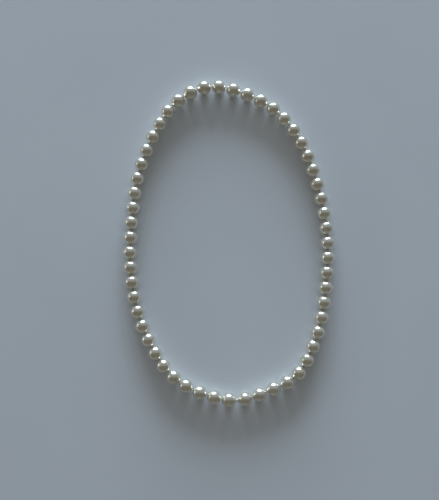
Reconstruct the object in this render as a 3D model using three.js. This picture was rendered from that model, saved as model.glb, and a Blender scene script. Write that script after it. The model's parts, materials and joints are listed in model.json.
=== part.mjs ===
// A pearl necklace lying in a loose egg-shaped loop: 55 round pearls on one elastic cord, tied in
// one knot. Millimetres, +Z up. The origin is on the surface it lies on, under the loop's middle.
import * as THREE from 'three';

const PEARL_COUNT = 55;
const PEARL_DIAMETER = 8;
const PEARL_GAP = 0.4;       // between two neighbouring pearls
const KNOT_GAP = 1.0;        // between the first and the last pearl
const HOLE_DIAMETER = 1.4;
const CORD_DIAMETER = 0.7;
const KNOT_DIAMETER = 2.2;
const KNOT_THICKNESS = 0.5;  // squeezed flat between the two pearls

// The strand's centre line seen from above, as [x, y], from the knot round by the left side.
const LOOP_POINTS = [
  [4.5, -88], [-16, -84], [-32, -74], [-44, -56], [-52, -34], [-55, -10],
  [-54, 14], [-51, 36], [-42, 60], [-29, 79], [-13, 87], [6, 84.5],
  [26, 74], [40, 57], [50, 31], [55, 3], [54, -25], [49, -52],
  [38, -74], [23, -82.5],
];

const PEARL_RADIUS = PEARL_DIAMETER / 2;
const HOLE_RADIUS = HOLE_DIAMETER / 2;
const MOUTH_ANGLE = Math.asin(HOLE_RADIUS / PEARL_RADIUS);
const MOUTH_DISTANCE = PEARL_RADIUS * Math.cos(MOUTH_ANGLE); // from a pearl's centre to its hole's mouth

const PEARL_SIDES = 12;      // a multiple of 4, so that flats face down, up and to both sides
const PEARL_ARC_STEPS = 7;   // odd, so that the middle step is a flat band
const CORD_SIDES = 6;
const KNOT_SIDES = 12;
const KNOT_ARC_STEPS = 6;

const pearlMaterial = new THREE.MeshStandardMaterial({
  color: 0xe4dfd2, roughness: 0.22, metalness: 0.0,
});
const cordMaterial = new THREE.MeshStandardMaterial({
  color: 0xdfe2e2, roughness: 0.35, metalness: 0.0,
});

// The strand's places: chords of one length laid along the loop.

function loopAt(scale) {
  const points = LOOP_POINTS.map(([x, y]) => new THREE.Vector3(x * scale, y * scale, PEARL_RADIUS));
  return new THREE.CatmullRomCurve3(points, true);
}

// The parameter past `from` at which the curve is `distance` away in a straight line.
function stepAlong(curve, from, distance) {
  const start = curve.getPoint(from);
  let low = from;
  let high = from + 2 * distance / curve.getLength();
  for (let i = 0; i < 40; i += 1) {
    const middle = (low + high) / 2;
    const near = curve.getPoint(middle % 1).distanceTo(start) < distance;
    if (near) low = middle;
    else high = middle;
  }
  return high;
}

// Centres of the pearls on a loop of this scale, and where the last step back to the first ends.
function strandOn(scale) {
  const curve = loopAt(scale);
  const pitch = PEARL_DIAMETER + PEARL_GAP;
  const knotPitch = PEARL_DIAMETER + KNOT_GAP;
  let at = stepAlong(curve, 0, knotPitch / 2);
  const first = at;
  const centres = [curve.getPoint(at)];
  for (let i = 1; i < PEARL_COUNT; i += 1) {
    at = stepAlong(curve, at, pitch);
    centres.push(curve.getPoint(at % 1));
  }
  const end = stepAlong(curve, at, knotPitch);
  return { centres, overshoot: end - 1 - first };
}

// The strand whose chain of chords just closes, found by halving the loop's scale.
function closedStrand() {
  let low = 0.8;
  let high = 1.25;
  for (let i = 0; i < 40; i += 1) {
    const middle = (low + high) / 2;
    if (strandOn(middle).overshoot > 0) low = middle;
    else high = middle;
  }
  return strandOn(high).centres;
}

// Moves the points so that the origin is under the middle of their outline.
function centred(points) {
  const middle = new THREE.Box3().setFromPoints(points).getCenter(new THREE.Vector3());
  middle.z = 0;
  return points.map((p) => p.clone().sub(middle));
}

const centres = centred(closedStrand());

// Each hole points from the pearl before to the pearl after.
const holeAxes = centres.map((_, i) => {
  const before = centres[(i + PEARL_COUNT - 1) % PEARL_COUNT];
  const after = centres[(i + 1) % PEARL_COUNT];
  return after.clone().sub(before).normalize();
});

// Pearls

// A lathe about the hole: the hole's wall, then the round outside, widened so that the flats of
// the faceted pearl, not its corners, lie on the true diameter.
function pearlGeometry() {
  const step = (Math.PI - 2 * MOUTH_ANGLE) / PEARL_ARC_STEPS;
  const widening = 1 / (Math.cos(step / 2) * Math.cos(Math.PI / PEARL_SIDES));
  const profile = [];
  for (let i = 0; i <= PEARL_ARC_STEPS; i += 1) {
    const angle = MOUTH_ANGLE + i * step;
    const atMouth = i === 0 || i === PEARL_ARC_STEPS;
    const radius = atMouth ? HOLE_RADIUS : PEARL_RADIUS * Math.sin(angle) * widening;
    profile.push(new THREE.Vector2(radius, -PEARL_RADIUS * Math.cos(angle)));
  }
  profile.push(profile[0].clone());
  return new THREE.LatheGeometry(profile, PEARL_SIDES, Math.PI / PEARL_SIDES);
}

// Turns a lathe's +Y axis to `axis`, which is level, and its +Z to straight up.
function alongAxis(axis) {
  const up = new THREE.Vector3(0, 0, 1);
  const side = new THREE.Vector3().crossVectors(axis, up);
  return new THREE.Quaternion().setFromRotationMatrix(new THREE.Matrix4().makeBasis(side, axis, up));
}

function pearls() {
  const group = new THREE.Group();
  const geometry = pearlGeometry();
  centres.forEach((centre, i) => {
    const pearl = new THREE.Mesh(geometry, pearlMaterial);
    pearl.name = `pearl_${String(i + 1).padStart(2, '0')}`;
    pearl.position.copy(centre);
    pearl.quaternion.copy(alongAxis(holeAxes[i]));
    group.add(pearl);
  });
  return group;
}

// Elastic cord

// Straight lines from point to point, each taking an equal share of the parameter.
class Polyline extends THREE.Curve {
  constructor(points) {
    super();
    this.points = points;
  }

  getPoint(t, target = new THREE.Vector3()) {
    const along = t * (this.points.length - 1);
    const i = Math.min(Math.floor(along), this.points.length - 2);
    return target.lerpVectors(this.points[i], this.points[i + 1], along - i);
  }

  getPointAt(u, target) {
    return this.getPoint(u, target);
  }

  getTangentAt(u, target) {
    return this.getTangent(u, target);
  }
}

// The cord runs straight through each hole and bends between two mouths. It starts at the first
// pearl's outer mouth and ends at the last one's, where the knot takes over.
function elasticCord() {
  const points = [];
  centres.forEach((centre, i) => {
    points.push(centre.clone().addScaledVector(holeAxes[i], -MOUTH_DISTANCE));
    points.push(centre.clone().addScaledVector(holeAxes[i], MOUTH_DISTANCE));
  });
  const section = new THREE.Shape();
  for (let i = 0; i < CORD_SIDES; i += 1) {
    const angle = i * 2 * Math.PI / CORD_SIDES;
    const x = Math.cos(angle) * CORD_DIAMETER / 2;
    const y = Math.sin(angle) * CORD_DIAMETER / 2;
    if (i === 0) section.moveTo(x, y);
    else section.lineTo(x, y);
  }
  section.closePath();
  const geometry = new THREE.ExtrudeGeometry(section, {
    steps: points.length - 1, extrudePath: new Polyline(points), curveSegments: 1,
  });
  const cord = new THREE.Mesh(geometry, cordMaterial);
  cord.name = 'elastic_cord';
  return cord;
}

// Knot

// A bead squeezed flat, standing across the strand in the gap between the last and first pearls.
function knot() {
  const profile = [];
  for (let i = 0; i <= KNOT_ARC_STEPS; i += 1) {
    const angle = i * Math.PI / KNOT_ARC_STEPS;
    const radius = KNOT_DIAMETER / 2 * Math.sin(angle);
    profile.push(new THREE.Vector2(radius, -KNOT_THICKNESS / 2 * Math.cos(angle)));
  }
  profile[0].x = 0;
  profile[KNOT_ARC_STEPS].x = 0;
  const bead = new THREE.Mesh(new THREE.LatheGeometry(profile, KNOT_SIDES), cordMaterial);
  const first = centres[0];
  const last = centres[PEARL_COUNT - 1];
  bead.name = 'knot';
  bead.position.addVectors(first, last).multiplyScalar(0.5);
  bead.quaternion.copy(alongAxis(first.clone().sub(last).normalize()));
  return bead;
}

const necklace = new THREE.Group();
necklace.add(pearls(), elasticCord(), knot());

export default necklace;
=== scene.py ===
"""A pearl necklace lying in a loose egg-shaped loop: glossy imitation pearls on clear elastic cord.

Every pearl of the frame gets a smooth, drilled and lacquered pearl. The cord is made in one short
length for each pearl, which ends in the middle of the gap on either side, so that the strand stays
joined where it bends. Metres, in the frame's own axes.
"""

import json
import math

import bmesh
import bpy
from mathutils import Matrix, Vector


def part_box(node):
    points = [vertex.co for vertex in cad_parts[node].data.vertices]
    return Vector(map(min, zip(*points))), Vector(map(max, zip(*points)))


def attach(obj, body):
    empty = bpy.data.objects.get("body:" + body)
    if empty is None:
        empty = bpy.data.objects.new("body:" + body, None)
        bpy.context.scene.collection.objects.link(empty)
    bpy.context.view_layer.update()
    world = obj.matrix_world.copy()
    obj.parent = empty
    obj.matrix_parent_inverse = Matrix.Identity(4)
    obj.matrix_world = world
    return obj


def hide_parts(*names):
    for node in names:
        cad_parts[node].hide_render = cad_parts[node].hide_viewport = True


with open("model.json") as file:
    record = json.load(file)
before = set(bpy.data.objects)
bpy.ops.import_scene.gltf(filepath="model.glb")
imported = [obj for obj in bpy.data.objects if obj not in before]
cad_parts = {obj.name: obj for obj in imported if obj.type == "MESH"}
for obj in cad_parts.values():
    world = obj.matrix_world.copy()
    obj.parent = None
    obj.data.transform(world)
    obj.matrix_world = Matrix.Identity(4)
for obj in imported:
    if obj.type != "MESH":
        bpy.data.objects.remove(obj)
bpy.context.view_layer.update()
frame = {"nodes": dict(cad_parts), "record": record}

MM = 0.001
UP = Vector((0, 0, 1))

PEARL_RADIUS = 4.0 * MM
HOLE_RADIUS = 0.6 * MM
HOLE_EDGE = 0.16 * MM  # the radius of the rounded edge at each end of a hole
CORD_RADIUS = 0.35 * MM

PEARL_SIDES = 56
PEARL_ARC_STEPS = 36
EDGE_STEPS = 5
CORD_SIDES = 16
CORD_CAP_STEPS = 4

# The knot is a trefoil: its strand goes twice round while it weaves three times in and out.
KNOT_ROUNDS = 2
KNOT_WEAVES = 3
KNOT_MAJOR = 0.56 * MM
KNOT_MINOR = 0.16 * MM
KNOT_STRAND = 0.22 * MM
KNOT_STEPS = 72
TAIL_LENGTH = 0.7 * MM
TAIL_OUT = 0.8  # how far outwards a tail of length 1 goes
TAIL_DOWN = 0.6


# Places


def centre_of(node):
    low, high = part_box(node)
    return (low + high) / 2


PEARLS = sorted(name for name in frame["nodes"] if name.startswith("pearl_"))
CENTRES = [centre_of(name) for name in PEARLS]
COUNT = len(PEARLS)
BODY_OF = {
    node: body
    for body, nodes in frame["record"]["behaviour"]["bodies"].items()
    for node in nodes
}


def hole_axis(i):
    """The way a pearl is drilled: from the pearl before it to the pearl after it."""
    return (CENTRES[(i + 1) % COUNT] - CENTRES[i - 1]).normalized()


AXES = [hole_axis(i) for i in range(COUNT)]
MOUTH = math.sqrt(PEARL_RADIUS**2 - HOLE_RADIUS**2)  # from a pearl's centre to its hole's mouth


def gap_middle(i):
    """The middle of the gap after pearl i, halfway between the two hole mouths."""
    after = (i + 1) % COUNT
    return (CENTRES[i] + AXES[i] * MOUTH + CENTRES[after] - AXES[after] * MOUTH) / 2


# Materials


def grey(value):
    return (value, value, value)


def fill_ramp(node, stops):
    """Gives a colour ramp node its (place, colour) stops."""
    elements = node.color_ramp.elements
    while len(elements) < len(stops):
        elements.new(0.5)
    for element, (at, colour) in zip(elements, stops):
        element.position = at
        element.color = (*colour, 1)


class Nodes:
    """A material's node tree, with short calls to add and link nodes."""

    def __init__(self, name):
        self.material = bpy.data.materials.new(name)
        self.material.use_nodes = True
        self.tree = self.material.node_tree
        self.shader = self.tree.nodes["Principled BSDF"]

    def add(self, kind):
        return self.tree.nodes.new(kind)

    def link(self, output, socket):
        self.tree.links.new(output, socket)

    def set(self, **values):
        for key, value in values.items():
            self.shader.inputs[key.replace("_", " ")].default_value = value

    def noise(self, scale, detail=3.0):
        place = self.add("ShaderNodeTexCoord")
        node = self.add("ShaderNodeTexNoise")
        node.inputs["Scale"].default_value = scale
        node.inputs["Detail"].default_value = detail
        self.link(place.outputs["Object"], node.inputs["Vector"])
        return node.outputs["Fac"]

    def ramp(self, factor, *stops):
        node = self.add("ShaderNodeValToRGB")
        fill_ramp(node, stops)
        self.link(factor, node.inputs["Fac"])
        return node.outputs["Color"]

    def bump(self, height, distance):
        node = self.add("ShaderNodeBump")
        node.inputs["Distance"].default_value = distance
        node.inputs["Strength"].default_value = 1.0
        self.link(height, node.inputs["Height"])
        self.link(node.outputs["Normal"], self.shader.inputs["Normal"])


def pearl_material():
    """Cream pearl lacquer: a soft metallic body under a clear gloss, a little different on each."""
    m = Nodes("pearl_lacquer")
    tint = m.ramp(
        m.noise(60, detail=2.0),
        (0.30, (0.85, 0.795, 0.66)),
        (0.50, (0.88, 0.835, 0.71)),
        (0.70, (0.90, 0.87, 0.76)),
    )
    m.link(tint, m.shader.inputs["Base Color"])
    rough = m.ramp(m.noise(900, detail=4.0), (0.35, grey(0.21)), (0.65, grey(0.27)))
    m.link(rough, m.shader.inputs["Roughness"])
    m.set(
        Metallic=0.85,
        Coat_Weight=1.0,
        Coat_Roughness=0.03,
        Coat_IOR=1.55,
        Sheen_Weight=0.25,
        Sheen_Roughness=0.3,
        Subsurface_Weight=0.15,
        Subsurface_Scale=0.0015,
        Subsurface_Radius=(1.0, 0.8, 0.6),
    )
    m.bump(m.noise(1400), distance=0.00002)
    return m.material


def cord_material():
    """Clear elastic, which looks milky against the pearls."""
    m = Nodes("clear_elastic")
    tint = m.ramp(
        m.noise(700, detail=2.0),
        (0.35, (0.86, 0.87, 0.86)),
        (0.65, (0.93, 0.94, 0.93)),
    )
    m.link(tint, m.shader.inputs["Base Color"])
    rough = m.ramp(m.noise(1500), (0.35, grey(0.24)), (0.65, grey(0.34)))
    m.link(rough, m.shader.inputs["Roughness"])
    m.set(Transmission_Weight=0.2, IOR=1.49)
    return m.material


def surface_material():
    """A pale matt table top with a faint mottle."""
    m = Nodes("pale_surface")
    tint = m.ramp(
        m.noise(14, detail=4.0),
        (0.30, (0.755, 0.790, 0.835)),
        (0.70, (0.780, 0.815, 0.860)),
    )
    m.link(tint, m.shader.inputs["Base Color"])
    m.set(Roughness=0.6, Specular_IOR_Level=0.1)
    return m.material


# Meshes


def add_to_scene(name, data):
    made = bpy.data.objects.new(name, data)
    bpy.context.scene.collection.objects.link(made)
    return made


def mesh_object(name, bm, material):
    bmesh.ops.recalc_face_normals(bm, faces=bm.faces)
    mesh = bpy.data.meshes.new(name)
    bm.to_mesh(mesh)
    bm.free()
    mesh.polygons.foreach_set("use_smooth", [True] * len(mesh.polygons))
    mesh.materials.append(material)
    return add_to_scene(name, mesh)


def ring(bm, centre, across, upward, radius, sides):
    made = []
    for k in range(sides):
        angle = 2 * math.pi * k / sides
        offset = across * math.cos(angle) + upward * math.sin(angle)
        made.append(bm.verts.new(centre + offset * radius))
    return made


def join_rings(bm, first, second):
    for k, vert in enumerate(first):
        after = (k + 1) % len(first)
        bm.faces.new((vert, first[after], second[after], second[k]))


def pearl_profile():
    """[(distance along the hole, distance from it)] from one end of the hole round to the other."""
    # The rounded edge touches the hole's wall and the sphere, so its middle is one edge radius
    # from both.
    from_axis = HOLE_RADIUS + HOLE_EDGE
    along = math.sqrt((PEARL_RADIUS - HOLE_EDGE) ** 2 - from_axis**2)
    turn = math.atan2(from_axis, along)
    # The edge's arc runs from facing the hole to facing along the sphere's own normal.
    edge = []
    for k in range(EDGE_STEPS + 1):
        angle = -math.pi / 2 + (turn + math.pi / 2) * k / EDGE_STEPS
        edge.append(
            (along + HOLE_EDGE * math.cos(angle), from_axis + HOLE_EDGE * math.sin(angle))
        )
    sphere = []
    for k in range(1, PEARL_ARC_STEPS):
        angle = turn + (math.pi - 2 * turn) * k / PEARL_ARC_STEPS
        sphere.append((PEARL_RADIUS * math.cos(angle), PEARL_RADIUS * math.sin(angle)))
    other_edge = [(-x, r) for x, r in reversed(edge)]
    return edge + sphere + other_edge


PROFILE = pearl_profile()


def make_pearl(i, material):
    """A pearl turned round its hole; its last ring joins its first along the hole's wall."""
    axis = AXES[i]
    across = axis.cross(UP).normalized()
    bm = bmesh.new()
    rings = [
        ring(bm, CENTRES[i] + axis * along, across, UP, radius, PEARL_SIDES)
        for along, radius in PROFILE
    ]
    for first, second in zip(rings, rings[1:] + rings[:1]):
        join_rings(bm, first, second)
    piece = mesh_object(f"lacquered_{PEARLS[i]}", bm, material)
    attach(piece, BODY_OF[PEARLS[i]])
    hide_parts(PEARLS[i])


def tube(bm, points, radius):
    """A tube along the points, with round ends past the first and the last."""
    first_way = (points[1] - points[0]).normalized()
    last_way = (points[-1] - points[-2]).normalized()
    caps = [math.pi / 2 * k / CORD_CAP_STEPS for k in range(1, CORD_CAP_STEPS)]
    stations = []  # (place, way along the tube, radius there)
    for angle in caps:
        place = points[0] - first_way * radius * math.cos(angle)
        stations.append((place, first_way, radius * math.sin(angle)))
    for k, point in enumerate(points):
        before = points[max(k - 1, 0)]
        after = points[min(k + 1, len(points) - 1)]
        stations.append((point, (after - before).normalized(), radius))
    for angle in reversed(caps):
        place = points[-1] + last_way * radius * math.cos(angle)
        stations.append((place, last_way, radius * math.sin(angle)))
    across = first_way.cross(UP)
    rings = []
    for place, way, reach in stations:
        across = (across - way * across.dot(way)).normalized()
        rings.append(ring(bm, place, across, way.cross(across), reach, CORD_SIDES))
    for first, second in zip(rings, rings[1:]):
        join_rings(bm, first, second)
    ends = (rings[0], points[0], -first_way), (rings[-1], points[-1], last_way)
    for end, place, way in ends:
        tip = bm.verts.new(place + way * radius)
        for k, vert in enumerate(end):
            bm.faces.new((vert, end[(k + 1) % len(end)], tip))


def make_cord_length(i, material):
    """The cord through pearl i, from the middle of the gap before it to that of the gap after."""
    points = [
        gap_middle(i - 1),
        CENTRES[i] - AXES[i] * MOUTH,
        CENTRES[i],
        CENTRES[i] + AXES[i] * MOUTH,
        gap_middle(i),
    ]
    bm = bmesh.new()
    tube(bm, points, CORD_RADIUS)
    piece = mesh_object(f"cord_in_{PEARLS[i]}", bm, material)
    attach(piece, BODY_OF[PEARLS[i]])
    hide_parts("elastic_cord")


def knot_point(t):
    """A point of the trefoil in its own axes: across the strand, up, and along the strand."""
    reach = KNOT_MAJOR + KNOT_MINOR * math.cos(KNOT_WEAVES * t)
    return Vector(
        (
            reach * math.cos(KNOT_ROUNDS * t),
            reach * math.sin(KNOT_ROUNDS * t),
            KNOT_MINOR * math.sin(KNOT_WEAVES * t),
        )
    )


def make_knot(material):
    """A small overhand knot, pulled flat between the last pearl and the first, with cut tails."""
    middle = gap_middle(COUNT - 1)
    along = (CENTRES[0] - CENTRES[-1]).normalized()
    across = along.cross(UP).normalized()
    turn = Matrix((across, UP, along)).transposed()
    points = [
        middle + turn @ knot_point(2 * math.pi * k / KNOT_STEPS) for k in range(KNOT_STEPS)
    ]
    bm = bmesh.new()
    rings = []
    for k, point in enumerate(points):
        way = (points[(k + 1) % KNOT_STEPS] - points[k - 1]).normalized()
        side = (point - middle - way * (point - middle).dot(way)).normalized()
        rings.append(ring(bm, point, side, way.cross(side), KNOT_STRAND, CORD_SIDES))
    for first, second in zip(rings, rings[1:] + rings[:1]):
        join_rings(bm, first, second)
    for side in (-1, 1):
        root = middle + across * side * KNOT_MAJOR
        tip = root + (across * side * TAIL_OUT - UP * TAIL_DOWN) * TAIL_LENGTH
        tube(bm, [root, (root + tip) / 2, tip], KNOT_STRAND)
    piece = mesh_object("tied_knot", bm, material)
    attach(piece, BODY_OF["knot"])
    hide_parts("knot")


# Camera, floor and light

IMAGE_LONG_SIDE = 500
FOCAL_PIXELS = 800
CAMERA_TILT = math.radians(3.57)
CAMERA_DISTANCE = 0.449
CAMERA_AIM = Vector((-5.2, -4.64, 4.0)) * MM
FLOOR_REACH = 3.0
FLOOR_FAR_EDGE = 1.2  # well short of the window, where the floor would glare


def make_camera():
    data = bpy.data.cameras.new("camera")
    data.sensor_width = 36
    data.lens = data.sensor_width * FOCAL_PIXELS / IMAGE_LONG_SIDE
    data.clip_start = 0.01
    camera = add_to_scene("camera", data)
    back = Vector((0, -math.sin(CAMERA_TILT), math.cos(CAMERA_TILT)))
    camera.location = CAMERA_AIM + back * CAMERA_DISTANCE
    camera.rotation_euler = (CAMERA_TILT, 0, 0)
    bpy.context.scene.camera = camera


def make_floor(material):
    bm = bmesh.new()
    corners = [
        (-FLOOR_REACH, -FLOOR_REACH),
        (FLOOR_REACH, -FLOOR_REACH),
        (FLOOR_REACH, FLOOR_FAR_EDGE),
        (-FLOOR_REACH, FLOOR_FAR_EDGE),
    ]
    bm.faces.new([bm.verts.new((x, y, 0)) for x, y in corners])
    mesh_object("table_top", bm, material)


def area_light(name, azimuth, elevation, distance, size, watts, colour):
    """A soft rectangular light that faces the middle of the loop. Azimuth 0 is +Y, 90 is +X."""
    a, e = math.radians(azimuth), math.radians(elevation)
    way = Vector((math.sin(a) * math.cos(e), math.cos(a) * math.cos(e), math.sin(e)))
    data = bpy.data.lights.new(name, "AREA")
    data.shape = "RECTANGLE"
    data.size, data.size_y = size
    data.energy = watts
    data.color = colour
    light = add_to_scene(name, data)
    light.location = way * distance
    light.rotation_euler = way.to_track_quat("Z", "Y").to_euler()
    light.visible_camera = False


def make_lights():
    """A low bluish window beyond the top of the loop, its wall, and a small light on the left."""
    area_light(
        "window",
        azimuth=0,
        elevation=11,
        distance=4.0,
        size=(2.5, 1.2),
        watts=175.0,
        colour=(0.70, 0.84, 1.0),
    )
    area_light(
        "window_wall",
        azimuth=0,
        elevation=7,
        distance=4.4,
        size=(5.2, 1.04),
        watts=36.0,
        colour=(0.72, 0.86, 1.0),
    )
    area_light(
        "side_strip",
        azimuth=-84,
        elevation=12,
        distance=1.3,
        size=(0.52, 0.11),
        watts=0.70,
        colour=(1.0, 1.0, 0.97),
    )


# The room's light runs from 0, straight away from the window, to 1, straight towards it.
WINDOW_WAY = (0, 0.98, -0.2)
ROOM_LIGHT = [
    (0.00, (0.215, 0.210, 0.195)),
    (0.03, (0.168, 0.163, 0.145)),
    (0.10, (0.140, 0.135, 0.115)),
    (0.40, (0.132, 0.127, 0.108)),
    (0.52, (0.225, 0.235, 0.235)),
    (0.68, (0.240, 0.260, 0.275)),
    (0.80, (0.260, 0.300, 0.335)),
    (0.98, (0.330, 0.390, 0.460)),
]


def make_world():
    """A dim room, warm overhead and bluish on the window's side."""
    world = bpy.data.worlds.new("dim_room")
    world.use_nodes = True
    bpy.context.scene.world = world
    nodes, links = world.node_tree.nodes, world.node_tree.links
    place = nodes.new("ShaderNodeTexCoord")
    towards = nodes.new("ShaderNodeVectorMath")
    towards.operation = "DOT_PRODUCT"
    towards.inputs[1].default_value = WINDOW_WAY
    # The dot product runs from -1 to 1, and the ramp from 0 to 1.
    half = nodes.new("ShaderNodeMath")
    half.operation = "MULTIPLY_ADD"
    half.inputs[1].default_value = 0.5
    half.inputs[2].default_value = 0.5
    ramp = nodes.new("ShaderNodeValToRGB")
    fill_ramp(ramp, ROOM_LIGHT)
    links.new(place.outputs["Generated"], towards.inputs[0])
    links.new(towards.outputs["Value"], half.inputs[0])
    links.new(half.outputs["Value"], ramp.inputs["Fac"])
    links.new(ramp.outputs["Color"], nodes["Background"].inputs["Color"])


make_camera()
make_floor(surface_material())
make_lights()
make_world()
lacquer = pearl_material()
elastic = cord_material()
for index in range(COUNT):
    make_pearl(index, lacquer)
    make_cord_length(index, elastic)
make_knot(elastic)
bpy.context.scene.view_settings.view_transform = "Standard"
